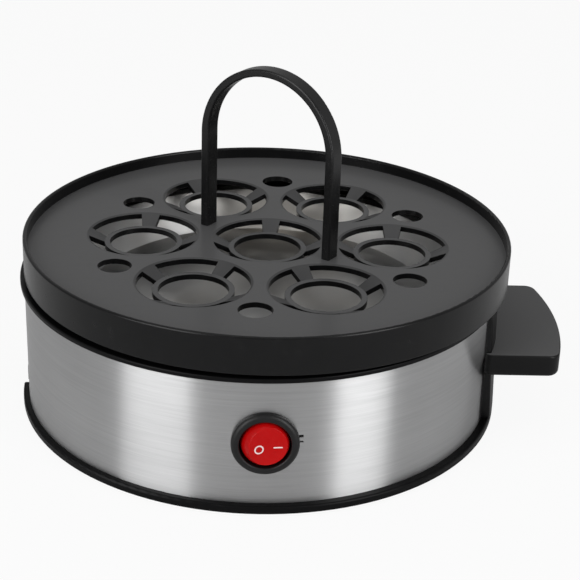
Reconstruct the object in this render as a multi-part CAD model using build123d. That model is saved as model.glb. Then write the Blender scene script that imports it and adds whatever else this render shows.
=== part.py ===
from build123d import *
import math
import os

# Electric egg cooker: a round steel-sided base with a rocker switch and one side handle, which boils
# water in a shallow pan, and a loose black tray with seven seats and an arch handle that lifts off it.
# Millimetres, +Z up. The origin is on the table under the middle of the base, the switch faces -Y and
# the side handle points to +X.

# Base cover, its foot ring and the screws that hold the base together
foot_proud = 1.0
foot_width = 8.0
foot_inset = 24.7
foot_recess = 0.8
foot_play = 0.1
cover_overhang = 2.7
cover_wall = 2.2
ring_shift = 0.5
ring_height = 2.7
ring_rib = 2.4
ring_edge = 0.8
base_screw_radius = 1.45
base_screw_length = 14.0
base_head_radius = 3.0
base_head_height = 1.2
base_counterbore = 0.8
pilot_play = 0.05
screw_play = 0.25

# Steel band, held between a groove in the cover and a groove in the collar
band_radius = 87.7
band_wall = 0.5
band_show = 46.5
groove_depth = 0.8
groove_play = 0.1

# Top collar that carries the pan and the tray
collar_overhang = 1.5
collar_plate = 1.6
upstand_inset = 2.7
upstand_wall = 2.5
upstand_height = 9.0
boss_radius = 3.6
boss_inset = 6.0
boss_count = 4
first_boss_angle = 45.0

# Water pan with its seal, heat spreader and heating element
pan_rim_inset = 2.9
pan_rim_width = 4.6
pan_wall_run = 9.0
pan_depth = 14.0
pan_sheet = 0.8
pan_gap = 0.8
pan_tab_width = 6.0
pan_tab_hook = 2.6
pan_tab_count = 3
pan_tab_play = 0.3
seal_thickness = 1.0
seal_inset = 0.3
spreader_radius = 50.0
spreader_thickness = 5.0
element_inset = 10.0
element_radius = 3.3
element_play = 0.1
element_gap_angle = 50.0
element_leg = 9.0
element_pin_radius = 1.2
element_pin = 3.0
blade_width = 6.3
blade_thickness = 0.8
blade_length = 8.0

# Snap-disc thermostat and thermal fuse under the spreader
thermostat_radius = 8.0
thermostat_height = 9.0
thermostat_flange = 0.8
thermostat_flange_width = 12.0
thermostat_screw_reach = 12.5
thermostat_blade_reach = 4.5
plate_screw_radius = 1.45
plate_screw_bite = 3.6
plate_head_radius = 2.7
plate_head_height = 1.7
fuse_radius = 2.0
fuse_length = 11.0
fuse_circle = 27.0
fuse_angle = 215.0
fuse_lead_radius = 0.5
fuse_lead = 5.0
clip_play = 0.1
clip_sheet = 0.8
clip_width = 5.0
clip_ear = 6.4

# Round rocker switch in the front of the band
switch_angle = -87.6
switch_height = 27.3
bezel_radius = 11.5
bezel_height = 2.4
bezel_edge = 1.7
bezel_inner_edge = 0.6
rocker_opening = 8.7
barrel_radius = 9.9
barrel_play = 0.1
barrel_depth = 15.8
cavity_depth = 12.2
snap_proud = 0.7
snap_length = 2.2
snap_width = 5.0
key_slit_reach = 12.7
key_slit_height = 0.6
key_notch_height = 1.0
key_slit_spread = 2.1
key_slit_rise = 1.0
rocker_play = 0.2
rocker_pivot_depth = 2.0
rocker_crown = 4.8
rocker_dish_radius = 32.0
rocker_skirt = 3.4
rocker_tilt = 10.0
rocker_pin_radius = 1.1
rocker_pin = 1.0
running_fit = 0.1
post_radius = 2.3
post_length = 2.4
plunger_radius = 1.2
plunger_proud = 1.8
plunger_spring = 2.6
plunger_play = 0.1
arm_length = 10.0
arm_width = 4.0
arm_sheet = 0.6
arm_tilt = 8.0
arm_gap = 0.25
arm_seat_gap = 0.1
switch_blade_pitch = 4.6
switch_blade_width = 4.8
switch_blade_out = 8.0
blade_slot_play = 0.03
lamp_radius = 1.3
lamp_length = 7.0
lamp_offset = 5.4

# Side handle: a curved plate on the band with a flat lug
handle_turn = 1.2
handle_width = 62.3
handle_plate_head_inset = 0.4
handle_plate_foot_inset = 3.8
handle_plate_top = 1.35
handle_plate_foot = 3.2
handle_plate_edge = 0.8
handle_end_play = 0.2
lug_height = 8.8
lug_low = 23.2
lug_length = 26.1
lug_corner = 4.5
lug_root_corner = 3.0
lug_top_edge = 0.9
lug_low_edge = 2.0
handle_screw_spread = 9.2
handle_screw_length = 13.0
handle_screw_radius = 1.45
handle_head_radius = 3.0
handle_head_height = 2.0

# Cord inlet, cord clamp and terminal block
inlet_angle = 180.0
inlet_width = 8.4
inlet_height = 6.2
inlet_proud = 0.8
inlet_flange_width = 12.0
inlet_flange_height = 8.8
inlet_flange = 0.5
inlet_inner_flange = 2.0
inlet_play = 0.2
inlet_gap_width = 15.0
cord_bore_radius = 2.3
clamp_inset = 13.2
clamp_sheet = 1.6
clamp_length = 7.0
clamp_span = 20.0
clamp_boss_height = 3.0
clamp_boss_radius = 2.9
cover_screw_radius = 1.2
cover_screw_bite = 3.0
cover_head_radius = 2.2
cover_head_height = 1.4
block_spacing = 19.0
block_length = 14.0
block_width = 20.0
block_height = 10.0
block_pitch = 10.0
block_bore_radius = 1.4
block_foot_height = 1.6
block_foot = 5.6
lead_radius = 0.9
lead_bend = 4.0
lead_run = 16.0
lead_bite = 5.0
lead_clear = 2.4
sleeve_wall = 0.9
sleeve_length = 7.0
sleeve_play = 0.05

# Tray with its seats, steam holes and arch handle
tray_shift = 2.3
tray_turn = -3.0
tray_clearance = 3.4
tray_wall = 1.6
tray_floor = 2.0
tray_rim_rise = 4.35
tray_edge = 0.7
skirt_gap = 1.85
seat_radius = 21.0
seat_web = 3.7
seat_count = 6
seat_depth = 3.0
seat_slope = 6.5
seat_ring = 2.0
seat_slot_margin = 0.8
seat_slot_angle = 70.0
seat_slot_count = 4
seat_root = 0.4
steam_hole_radius = 6.1
steam_web = 3.45
arch_offset = 0.15
arch_spring_height = 37.1
arch_width = 6.2
arch_leg_thickness = 3.4
arch_crown_thickness = 2.8
arch_edge = 0.6
arch_screw_radius = 0.8
arch_screw_length = 9.0
arch_head_radius = 2.2
arch_head_height = 1.4

# Levels and radii that follow from the sizes above
cover_low = foot_proud
cover_top = cover_low + cover_wall
ring_top = cover_low + ring_height
band_low = ring_top - groove_depth
collar_low = ring_top + band_show
band_high = collar_low + groove_depth
collar_top = collar_low + collar_plate
band_inside = band_radius - band_wall
cover_radius = band_radius + cover_overhang
foot_outer = cover_radius - foot_inset + foot_width / 2
foot_inner = foot_outer - foot_width
collar_radius = band_radius + collar_overhang
upstand_radius = band_radius - upstand_inset
upstand_inside = upstand_radius - upstand_wall
boss_circle = band_inside - boss_inset
pan_rim_radius = upstand_inside - pan_rim_inset
pan_mouth_radius = pan_rim_radius - pan_rim_width
pan_floor_radius = pan_mouth_radius - pan_wall_run
element_circle = spreader_radius - element_inset
lug_reach = band_radius + lug_length
clamp_place = band_inside - clamp_inset
block_place = clamp_place - block_spacing
tray_seat = collar_top + upstand_height
pan_rim_low = collar_top + seal_thickness
pan_rim_top = pan_rim_low + pan_sheet
pan_floor_top = pan_rim_top - pan_depth
spreader_top = pan_floor_top - pan_sheet
spreader_low = spreader_top - spreader_thickness
ledge_radius = pan_mouth_radius + pan_sheet + pan_gap
tray_floor_top = tray_seat + tray_floor
tray_rim_top = tray_floor_top + tray_rim_rise
skirt_low = collar_top + skirt_gap
arch_spring = tray_floor_top + arch_spring_height
blade_low = spreader_low - element_leg - element_pin
lead_level = cover_top + lead_clear
tray_radius = upstand_radius + tray_clearance + tray_wall
seat_hole_radius = seat_radius - seat_slope - seat_ring
seat_outer = seat_radius + seat_root
seat_circle = 2 * seat_outer + seat_web
steam_hole_spacing = seat_outer + steam_web + steam_hole_radius
steam_hole_outset = math.sqrt(steam_hole_spacing ** 2 - (seat_circle / 2) ** 2)
steam_hole_circle = seat_circle * math.cos(math.pi / seat_count) + steam_hole_outset
arch_radius = seat_circle / math.sqrt(3) + arch_offset


def turn_about(points):
    """Solid of revolution about the Z axis, from (radius, height) corners."""
    outline = Polyline(*[(radius, 0, height) for radius, height in points], close=True)
    return revolve(make_face(outline), Axis.Z)


def ring(inner, outer, low, high):
    """Plain ring about the Z axis."""
    return turn_about([(inner, low), (outer, low), (outer, high), (inner, high)])


def post(radius, low, high):
    """Upright cylinder on the Z axis."""
    return Pos(0, 0, (low + high) / 2) * Cylinder(radius, high - low)


def block(size_x, size_y, low, high):
    """Upright box centred on the Z axis."""
    return Pos(0, 0, (low + high) / 2) * Box(size_x, size_y, high - low)


def around(radius, angle):
    """Place at a radius and an angle about the Z axis, with X pointing outward."""
    return Rot(0, 0, angle) * Pos(radius, 0, 0)


def circle_places(radius, count, first_angle):
    """Evenly spaced places on a circle about the Z axis."""
    return [around(radius, first_angle + step * 360 / count) for step in range(count)]


def group(shapes):
    """Several separate solids as one piece."""
    return Compound([solid for shape in shapes for solid in shape.solids()])


def screw(radius, length, head_radius, head_height):
    """Pan-head screw pointing up, with the underside of its head at the origin."""
    head = post(head_radius, -head_height, 0)
    rim = head.edges().sort_by(Axis.Z)[0]
    return fillet(rim, head_height / 2) + post(radius, 0, length)


def base_screw_places():
    return circle_places(boss_circle, boss_count, first_boss_angle)


def base_screw_level():
    """Level of the face under a base screw's head, sunk into the cover."""
    return cover_low + base_counterbore


def cover_screw_places():
    """Screws that go down into the cover: two for the cord clamp and two for the terminal block."""
    places = []
    for side in (-1, 1):
        places.append(around(clamp_place, inlet_angle) * Pos(0, side * clamp_span / 2, 0))
        places.append(around(block_place, inlet_angle) * Pos(0, side * block_screw_offset(), 0))
    return places


def block_screw_offset():
    """Sideways distance from the middle of the terminal block to its fixing screws."""
    return block_width / 2 + block_foot / 2


def lip_gap(width, angle):
    """Gap through the cover's outer ring, where a piece on the band's outside reaches down past it."""
    gap = ring(band_radius - groove_play, cover_radius + ring_shift, cover_low, ring_top)
    gap &= Pos(cover_radius, 0, 0) * block(cover_radius, width, cover_low, ring_top)
    return Rot(0, 0, angle) * gap


def base_cover():
    """Dished plastic bottom whose outer ring, a little to one side, holds the steel band in a groove."""
    disc = Pos(ring_shift, 0, 0) * post(cover_radius, cover_low, ring_top)
    disc = fillet(disc.edges().sort_by(Axis.Z)[-1], ring_edge)
    cover = disc - post(band_inside - ring_rib, cover_top, ring_top)
    cover -= ring(band_inside - groove_play, band_radius + groove_play, band_low, ring_top)
    cover -= ring(foot_inner - foot_play, foot_outer + foot_play, cover_low, cover_low + foot_recess)
    for place in base_screw_places():
        cover -= place * post(base_screw_radius + screw_play, cover_low, cover_top)
        cover -= place * post(base_head_radius + screw_play, cover_low, cover_low + base_counterbore)
    for side in (-1, 1):
        boss_place = around(clamp_place, inlet_angle) * Pos(0, side * clamp_span / 2, 0)
        cover += boss_place * post(clamp_boss_radius, cover_top, cover_top + clamp_boss_height)
    pilot_low = cover_top + block_foot_height - cover_screw_bite - pilot_play
    pilot = post(cover_screw_radius + pilot_play, pilot_low, cover_top + clamp_boss_height)
    for place in cover_screw_places():
        cover -= place * pilot
    cover -= lip_gap(inlet_gap_width, inlet_angle)
    notch = ring(inlet_inner_radius() - inlet_play, cover_radius, cover_top, ring_top)
    notch_width = inlet_flange_width + 2 * inlet_play
    notch &= Pos(cover_radius, 0, 0) * block(cover_radius, notch_width, cover_top, ring_top)
    return cover - Rot(0, 0, inlet_angle) * notch


def foot_ring():
    """Flat rubber ring in a shallow groove under the cover, on which the cooker stands."""
    return ring(foot_inner, foot_outer, 0, cover_low + foot_recess)


def base_screws():
    """Screws from below that pull the cover and the collar together over the band."""
    part = screw(base_screw_radius, base_screw_length, base_head_radius, base_head_height)
    return group(place * Pos(0, 0, base_screw_level()) * part for place in base_screw_places())


def switch_frame():
    """Switch axes: X to the right, Y up, Z straight out of the band's surface."""
    angle = math.radians(switch_angle)
    outward = (math.cos(angle), math.sin(angle), 0)
    sideways = (-math.sin(angle), math.cos(angle), 0)
    middle = (band_radius * outward[0], band_radius * outward[1], switch_height)
    return Plane(origin=middle, x_dir=sideways, z_dir=outward).location


def handle_screw_places():
    """Radial places of the handle's screws, with Z pointing outward through the band."""
    head_face = math.sqrt(band_inside ** 2 - handle_head_radius ** 2)
    height = lug_low + lug_height / 2
    places = []
    for side in (-1, 1):
        turned = Rot(0, 0, handle_turn + side * handle_screw_spread) * Pos(head_face, 0, height)
        places.append(turned * Rot(0, 90, 0))
    return places


def inlet_slot(play):
    """Slot from the band's lower edge upward for the neck of the cord inlet."""
    slot = block(inlet_proud * 4, inlet_width + 2 * play, cover_top, cover_top + inlet_height + play)
    return around(band_radius, inlet_angle) * slot


def steel_band():
    """Rolled stainless band with holes for the switch, the handle's screws and the cord inlet."""
    band = ring(band_inside, band_radius, band_low, band_high)
    band -= switch_frame() * post(barrel_radius + barrel_play, -barrel_depth, bezel_height)
    for side, height in ((-1, key_slit_height), (1, key_notch_height)):
        slit = Pos(key_slit_reach / 2, 0, 0) * block(key_slit_reach, height, -barrel_depth, bezel_height)
        band -= switch_frame() * Pos(0, key_slit_rise + side * key_slit_spread / 2, 0) * slit
    for place in handle_screw_places():
        band -= place * post(handle_screw_radius + screw_play, -handle_head_height, handle_screw_length)
    return band - inlet_slot(inlet_play)


def pan_tab_places():
    return circle_places(pan_rim_radius, pan_tab_count, 0)


def top_collar():
    """Plastic collar: a flat plate that caps the band, an upstand for the tray and screw bosses."""
    plate = ring(ledge_radius, collar_radius, collar_low, collar_top)
    plate = fillet(plate.edges().group_by(Axis.Z)[-1].sort_by(SortBy.LENGTH)[-1], collar_plate / 3)
    collar = plate + ring(upstand_inside, upstand_radius, collar_top, tray_seat)
    collar -= ring(band_inside - groove_play, band_radius + groove_play, collar_low, band_high)
    for place in base_screw_places():
        boss = post(boss_radius, cover_top, collar_low)
        pilot_high = base_screw_level() + base_screw_length + pilot_play
        pilot = post(base_screw_radius + pilot_play, cover_top, pilot_high)
        collar += place * (boss - pilot)
    slot = block(2 * (pan_sheet + pan_tab_play), pan_tab_width + 2 * pan_tab_play, collar_low, collar_top)
    for place in pan_tab_places():
        collar -= place * Pos(pan_sheet / 2, 0, 0) * slot
    return collar


def heater_pan():
    """Pressed steel water pan, hung by its rim and held by tabs bent over under the collar."""
    floor_low = pan_floor_top - pan_sheet
    wall_shift = pan_sheet * math.hypot(pan_depth, pan_mouth_radius - pan_floor_radius) / pan_depth
    slope = (pan_mouth_radius - pan_floor_radius) / pan_depth
    outer_mouth = pan_mouth_radius + wall_shift - slope * pan_sheet
    outer_floor = pan_floor_radius + wall_shift - slope * pan_sheet
    pan = turn_about([
        (0, floor_low), (outer_floor, floor_low), (outer_mouth, pan_rim_low), (pan_rim_radius, pan_rim_low),
        (pan_rim_radius, pan_rim_top), (pan_mouth_radius, pan_rim_top), (pan_floor_radius, pan_floor_top),
        (0, pan_floor_top)])
    tab_low = collar_low - pan_sheet
    tab = Pos(pan_sheet / 2, 0, 0) * block(pan_sheet, pan_tab_width, tab_low, pan_rim_top)
    root = block(2 * pan_sheet, pan_tab_width, pan_rim_low, pan_rim_top)
    hook = Pos(pan_tab_hook / 2, 0, 0) * block(pan_tab_hook, pan_tab_width, tab_low, collar_low)
    for place in pan_tab_places():
        pan += place * (tab + root + hook)
    return pan


def pan_seal():
    """Silicone ring between the collar and the pan's rim."""
    return ring(ledge_radius + seal_inset, pan_rim_radius - seal_inset, collar_top, pan_rim_low)


def element_ends():
    """Angles of the two ends of the heating element, either side of the rear."""
    return (90 - element_gap_angle / 2, 90 + element_gap_angle / 2)


def element_tube(radius):
    """Open ring of round tube with its ends turned down."""
    right_end, left_end = element_ends()
    bend = Torus(element_circle, radius, major_angle=360 - element_gap_angle)
    tube = Pos(0, 0, spreader_low) * Rot(0, 0, left_end) * bend
    for angle in (right_end, left_end):
        end = around(element_circle, angle)
        tube += end * Pos(0, 0, spreader_low) * Sphere(radius)
        tube += end * post(radius, spreader_low - element_leg, spreader_low)
    return tube


def plate_screw_places():
    """Screws up into the spreader: two for the thermostat and two for the fuse clip."""
    thermostat = [Pos(side * thermostat_screw_reach, 0, 0) for side in (-1, 1)]
    clip = [around(fuse_circle, fuse_angle) * Pos(side * clip_ear, 0, 0) for side in (-1, 1)]
    return thermostat, clip


def heat_spreader():
    """Aluminium disc brazed under the pan, grooved for the heating element."""
    disc = post(spreader_radius, spreader_low, spreader_top)
    disc -= element_tube(element_radius + element_play)
    thermostat, clip = plate_screw_places()
    hole = post(plate_screw_radius + pilot_play, spreader_low, spreader_low + plate_screw_bite + pilot_play)
    for place in thermostat + clip:
        disc -= place * hole
    return disc


def heating_element():
    """Sheathed heating tube, half sunk in the spreader, with a cold pin at each end."""
    tube = element_tube(element_radius)
    pin = post(element_pin_radius, blade_low, spreader_low - element_leg)
    for angle in element_ends():
        tube += around(element_circle, angle) * pin
    return tube


def element_blades():
    """Flat push-on blades welded under the element's pins."""
    blade = block(blade_thickness, blade_width, blade_low - blade_length, blade_low)
    return group(around(element_circle, angle) * blade for angle in element_ends())


def thermostat():
    """Snap-disc thermostat pressed against the middle of the spreader by its flange."""
    flange_low = spreader_low - thermostat_flange
    reach = 2 * (thermostat_screw_reach + plate_head_radius)
    flange = block(reach, thermostat_flange_width, flange_low, spreader_low)
    for side in (-1, 1):
        hole = post(plate_screw_radius + screw_play, flange_low, spreader_low)
        flange -= Pos(side * thermostat_screw_reach, 0, 0) * hole
    return flange + post(thermostat_radius, flange_low - thermostat_height, flange_low)


def thermostat_low():
    return spreader_low - thermostat_flange - thermostat_height


def thermostat_blades():
    """Two flat blades under the thermostat."""
    blade = block(blade_thickness, blade_width, thermostat_low() - blade_length, thermostat_low())
    return group(Pos(side * thermostat_blade_reach, 0, 0) * blade for side in (-1, 1))


def plate_screws():
    """Four equal screws that hold the thermostat and the fuse clip to the spreader."""
    thermostat, clip = plate_screw_places()
    screws = []
    for places, sheet in ((thermostat, thermostat_flange), (clip, clip_sheet)):
        part = screw(plate_screw_radius, plate_screw_bite + sheet, plate_head_radius, plate_head_height)
        screws += [place * Pos(0, 0, spreader_low - sheet) * part for place in places]
    return group(screws)


def fuse_axis():
    """Place of the thermal fuse, with its length along Y and its top on the spreader."""
    return around(fuse_circle, fuse_angle) * Pos(0, 0, spreader_low - fuse_radius)


def thermal_fuse():
    """Cylindrical thermal fuse with a stiff lead at each end."""
    body = Rot(90, 0, 0) * Cylinder(fuse_radius, fuse_length)
    leads = Rot(90, 0, 0) * Cylinder(fuse_lead_radius, fuse_length + 2 * fuse_lead)
    return fuse_axis() * (body + leads)


def fuse_clip():
    """Bent metal strap that presses the fuse against the spreader."""
    inner = fuse_radius + clip_play
    outer = inner + clip_sheet
    reach = 2 * (clip_ear + plate_head_radius)
    strap = Circle(outer) + Pos(0, fuse_radius / 2) * Rectangle(2 * outer, fuse_radius)
    strap += Pos(0, fuse_radius - clip_sheet / 2) * Rectangle(reach, clip_sheet)
    strap -= Circle(inner) + Pos(0, fuse_radius / 2) * Rectangle(2 * inner, fuse_radius)
    strap -= Pos(0, fuse_radius + outer / 2) * Rectangle(reach, outer)
    clip = fuse_axis() * Rot(90, 0, 0) * extrude(strap, clip_width / 2, both=True)
    hole = post(plate_screw_radius + screw_play, spreader_low - clip_sheet, spreader_low)
    for place in plate_screw_places()[1]:
        clip -= place * hole
    return clip


def switch_housing():
    """Switch body: a domed bezel outside the band and a barrel with a hollow for the rocker inside."""
    bezel = ring(rocker_opening, bezel_radius, 0, bezel_height)
    bezel = fillet(bezel.edges().group_by(Axis.Z)[-1].sort_by(SortBy.LENGTH)[-1], bezel_edge)
    bezel = fillet(bezel.edges().group_by(Axis.Z)[-1].sort_by(SortBy.LENGTH)[0], bezel_inner_edge)
    barrel = post(barrel_radius, -barrel_depth, 0)
    barrel -= post(rocker_opening, -cavity_depth, 0)
    housing = bezel + barrel
    for side in (-1, 1):
        snap = Pos(0, side * (barrel_radius + snap_proud) / 2, 0)
        wedge = block(snap_width, barrel_radius + snap_proud, -band_wall - barrel_play - snap_length,
                      -band_wall - barrel_play)
        housing += snap * wedge - post(rocker_opening, -barrel_depth, bezel_height)
        pin_hole = Cylinder(rocker_pin_radius + running_fit, 2 * (rocker_pin + rocker_play))
        housing -= Pos(0, side * rocker_opening, -rocker_pivot_depth) * Rot(90, 0, 0) * pin_hole
    for offset in switch_blade_offsets():
        slot = block(blade_thickness + 2 * blade_slot_play, switch_blade_width + 2 * blade_slot_play,
                     -barrel_depth, -cavity_depth)
        housing -= Pos(offset, 0, 0) * slot
    return switch_frame() * housing


def switch_blade_offsets():
    return (-switch_blade_pitch, 0, switch_blade_pitch)


def rocker_place():
    """Rocker axes at the pivot, tilted with its right side pressed in, as when switched on."""
    return switch_frame() * Pos(0, 0, -rocker_pivot_depth) * Rot(0, rocker_tilt, 0)


def rocker():
    """Round rocker, rounded about its pivot so that it turns in the opening, with pins and a post."""
    ball_radius = rocker_opening - rocker_play
    ball = Sphere(ball_radius) & block(2 * ball_radius, 2 * ball_radius, -rocker_skirt, ball_radius)
    dish = Pos(0, 0, rocker_crown + rocker_dish_radius) * Rot(90, 0, 0)
    ball -= dish * Cylinder(rocker_dish_radius, 2 * ball_radius)
    for side in (-1, 1):
        pin = Rot(90, 0, 0) * Cylinder(rocker_pin_radius, 2 * (rocker_pin + rocker_play))
        ball += Pos(0, side * ball_radius, 0) * pin
    ball += post(post_radius, -rocker_skirt - post_length, -rocker_skirt)
    spring_top = -rocker_skirt - post_length + plunger_spring
    ball -= post(plunger_radius + plunger_play, -rocker_skirt - post_length, spring_top)
    return rocker_place() * ball


def plunger_tip():
    """Depth of the plunger's tip below the rocker's pivot."""
    return rocker_skirt + post_length + plunger_proud


def switch_plunger():
    """Round-nosed plunger that the rocker drags across the contact arm."""
    pin = post(plunger_radius, -plunger_tip(), -rocker_skirt - post_length)
    nose = pin.edges().sort_by(Axis.Z)[0]
    return rocker_place() * fillet(nose, plunger_radius / 2)


def switch_spring():
    """Small spring behind the plunger, drawn as the sleeve that its turns fill."""
    low = -rocker_skirt - post_length
    sleeve = ring(plunger_radius / 2, plunger_radius, low, low + plunger_spring)
    return rocker_place() * sleeve


def arm_top():
    """Height of the contact arm's upper face at its pivot, in the switch's axes."""
    return -rocker_pivot_depth - plunger_tip() - arm_gap


def contact_arm():
    """See-saw contact strip, tilted the other way from the rocker."""
    strip = block(arm_length, arm_width, 0, arm_sheet)
    return switch_frame() * Pos(0, 0, arm_top() - arm_sheet) * Rot(0, -arm_tilt, 0) * strip


def switch_blades():
    """Three blades through the back of the switch: the middle one carries the contact arm."""
    pivot = arm_top() - arm_sheet - arm_seat_gap
    drop = arm_length / 2 * math.tan(math.radians(arm_tilt))
    tops = (pivot - drop - arm_seat_gap, pivot, pivot - drop - arm_seat_gap)
    blades = []
    for offset, top in zip(switch_blade_offsets(), tops):
        blade = block(blade_thickness, switch_blade_width, -barrel_depth - switch_blade_out, -cavity_depth)
        tip = block(blade_thickness, arm_width, -cavity_depth, top)
        blades.append(switch_frame() * Pos(offset, 0, 0) * (blade + tip))
    return group(blades)


def switch_lamp():
    """Small glow lamp on the floor of the switch, under the upper half of the rocker."""
    glass = Rot(0, 90, 0) * Cylinder(lamp_radius, lamp_length)
    glass = fillet(glass.edges(), lamp_radius / 2)
    return switch_frame() * Pos(0, lamp_offset, lamp_radius - cavity_depth) * glass


def handle_plate():
    """Curved plate above the ring, narrower and thicker at its foot, with rounded upright edges."""
    low = ring_top + handle_end_play
    high = collar_low - handle_end_play
    foot_half = handle_width / 2 - handle_plate_foot_inset
    head_half = handle_width / 2 - handle_plate_head_inset
    plate = turn_about([(band_radius, low), (band_radius + handle_plate_foot, low),
                        (band_radius + handle_plate_top, high), (band_radius, high)])
    front = Polyline((0, -foot_half, low), (0, foot_half, low), (0, head_half, high), (0, -head_half, high),
                     close=True)
    plate &= extrude(make_face(front), 2 * band_radius, dir=(1, 0, 0))
    sides = plate.faces().sort_by(Axis.Y)
    upright = (sides[0].edges() + sides[-1].edges()).filter_by(lambda edge: edge.length > collar_low / 2)
    return fillet(upright.sort_by(Axis.X)[-2:], handle_plate_edge)


def handle_lug():
    """Flat lug with rounded corners, whose outer edge runs round the cooker's axis."""
    half = handle_width / 2
    corner = math.sqrt(lug_reach ** 2 - half ** 2)
    outer = ThreePointArc((corner, -half), (lug_reach, 0), (corner, half))
    root = math.sqrt(band_radius ** 2 - half ** 2)
    sides = Polyline((corner, half), (root, half), (root, -half), (corner, -half))
    outline = make_face([outer, sides])
    outline = fillet(outline.vertices().group_by(Axis.X)[-1], lug_corner)
    outline = fillet(outline.vertices().group_by(Axis.X)[0], lug_root_corner)
    lug = Pos(0, 0, lug_low) * extrude(outline, lug_height)
    lug = fillet(lug.edges().group_by(Axis.Z)[-1], lug_top_edge)
    return fillet(lug.edges().group_by(Axis.Z)[0], lug_low_edge)


def side_handle():
    """Moulded side handle: a curved plate against the band and a flat lug."""
    lug = handle_lug() - post(band_radius, 0, collar_top)
    handle = Rot(0, 0, handle_turn) * (handle_plate() + lug)
    for place in handle_screw_places():
        handle -= place * post(handle_screw_radius + pilot_play, 0, handle_screw_length + pilot_play)
    return handle


def handle_screws():
    """Two screws from inside the band into the lug."""
    part = screw(handle_screw_radius, handle_screw_length, handle_head_radius, handle_head_height)
    return group(place * part for place in handle_screw_places())


def inlet_inner_radius():
    """Radius of the inner face of the cord inlet."""
    return band_inside - inlet_inner_flange


def cord_inlet():
    """Stepped bush for the cord, slid up into the band's slot and held there by the cover."""
    outer = band_radius + inlet_proud
    inner = inlet_inner_radius()
    neck = block(outer - inner, inlet_width, cover_top, cover_top + inlet_height)
    neck = Pos((outer + inner) / 2, 0, 0) * neck
    neck = fillet(neck.edges().filter_by(Axis.X).group_by(Axis.Z)[-1], inlet_width / 6)
    flanges = ring(band_radius, band_radius + inlet_flange, cover_top, cover_top + inlet_flange_height)
    flanges += ring(inner, band_inside, cover_top, cover_top + inlet_flange_height)
    flanges &= Pos(band_radius, 0, 0) * block(band_radius, inlet_flange_width, cover_top, collar_low)
    bush = neck + flanges
    bore = Pos((outer + inner) / 2, 0, cover_top + inlet_height / 2) * Rot(0, 90, 0)
    bush -= bore * Cylinder(cord_bore_radius, 2 * (outer - inner))
    return Rot(0, 0, inlet_angle) * bush


def cord_clamp():
    """Saddle over the cord's path, screwed to two bosses on the cover."""
    low = cover_top + clamp_boss_height
    reach = clamp_span + 2 * cover_head_radius + 2 * clamp_sheet
    bar = block(clamp_length, reach, low, low + clamp_sheet)
    hump_radius = cord_bore_radius + clamp_sheet
    hump = Pos(0, 0, low) * Rot(0, 90, 0) * Cylinder(hump_radius, clamp_length)
    hollow = Pos(0, 0, low) * Rot(0, 90, 0) * Cylinder(cord_bore_radius, clamp_length)
    saddle = bar + (hump & block(clamp_length, 2 * hump_radius, low, low + hump_radius)) - hollow
    hole = post(cover_screw_radius + screw_play, low, low + clamp_sheet)
    for side in (-1, 1):
        saddle -= Pos(0, side * clamp_span / 2, 0) * hole
    return around(clamp_place, inlet_angle) * saddle


def block_bore_height():
    return cover_top + block_height / 2


def terminal_block():
    """Two-way block where the cord's cores meet the inner leads."""
    body = block(block_length, block_width, cover_top, cover_top + block_height)
    body += block(block_length, block_width + 2 * block_foot, cover_top, cover_top + block_foot_height)
    for side in (-1, 1):
        bore = Pos(0, side * block_pitch / 2, block_bore_height()) * Rot(0, 90, 0)
        body -= bore * Cylinder(block_bore_radius, block_length)
    for side in (-1, 1):
        hole = post(cover_screw_radius + screw_play, cover_top, cover_top + block_foot_height)
        body -= Pos(0, side * block_screw_offset(), 0) * hole
    return around(block_place, inlet_angle) * body


def cover_screws():
    """Four equal screws for the cord clamp and the terminal block, heads upward."""
    part = Rot(180, 0, 0) * screw(cover_screw_radius, cover_screw_bite, cover_head_radius, cover_head_height)
    clamp_top = cover_top + clamp_boss_height + clamp_sheet
    block_top = cover_top + block_foot_height
    tops = (clamp_top, block_top) * 2
    return group(place * Pos(0, 0, top) * part for place, top in zip(cover_screw_places(), tops))


def sleeve(slot_width):
    """Push-on sleeve that hangs from a blade, with the blade's end at the origin."""
    outer_x = blade_thickness + 2 * sleeve_wall
    outer_y = slot_width + 2 * sleeve_wall
    body = block(outer_x, outer_y, -sleeve_wall, sleeve_length - sleeve_wall)
    slot = block(blade_thickness + 2 * sleeve_play, slot_width + 2 * sleeve_play, 0, sleeve_length)
    return body - slot


def sleeve_places():
    """Blade ends with their blade widths: switch, thermostat and element, in that order."""
    places = {}
    for name, offset in zip(("switch_left", "switch_middle"), switch_blade_offsets()):
        blade_end = -barrel_depth - switch_blade_out
        places[name] = (switch_frame() * Pos(offset, 0, blade_end), switch_blade_width)
    for name, side in (("thermostat_left", -1), ("thermostat_right", 1)):
        low = thermostat_low() - blade_length
        places[name] = (Pos(side * thermostat_blade_reach, 0, low), blade_width)
    for name, angle in zip(("element_right", "element_left"), element_ends()):
        places[name] = (around(element_circle, angle) * Pos(0, 0, blade_low - blade_length), blade_width)
    return places


def blade_sleeves():
    """Push-on sleeves on the blades that the inner leads go to."""
    return group(place * sleeve(width) for place, width in sleeve_places().values())


def point_of(place):
    """Coordinates of a place's origin."""
    return place.position


def lead_start(name, distance=0):
    """Point where a lead leaves a sleeve, or so far straight out from there."""
    place = sleeve_places()[name][0]
    return point_of(place * Pos(0, 0, -sleeve_wall - distance))


def block_point(side, distance):
    """Point on the axis of one of the terminal block's bores, so far out of its inner face."""
    outward = around(block_place - block_length / 2 - distance, inlet_angle)
    return point_of(outward * Pos(0, side * block_pitch / 2, block_bore_height()))


def fuse_point(side, distance):
    """Point on the fuse's axis, so far beyond the end of its stiff lead."""
    return point_of(fuse_axis() * Pos(0, side * (fuse_length / 2 + fuse_lead + distance), 0))


def under(point):
    """Point below another one, at the level where leads lie over the cover."""
    return Vector(point.X, point.Y, lead_level)


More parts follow.
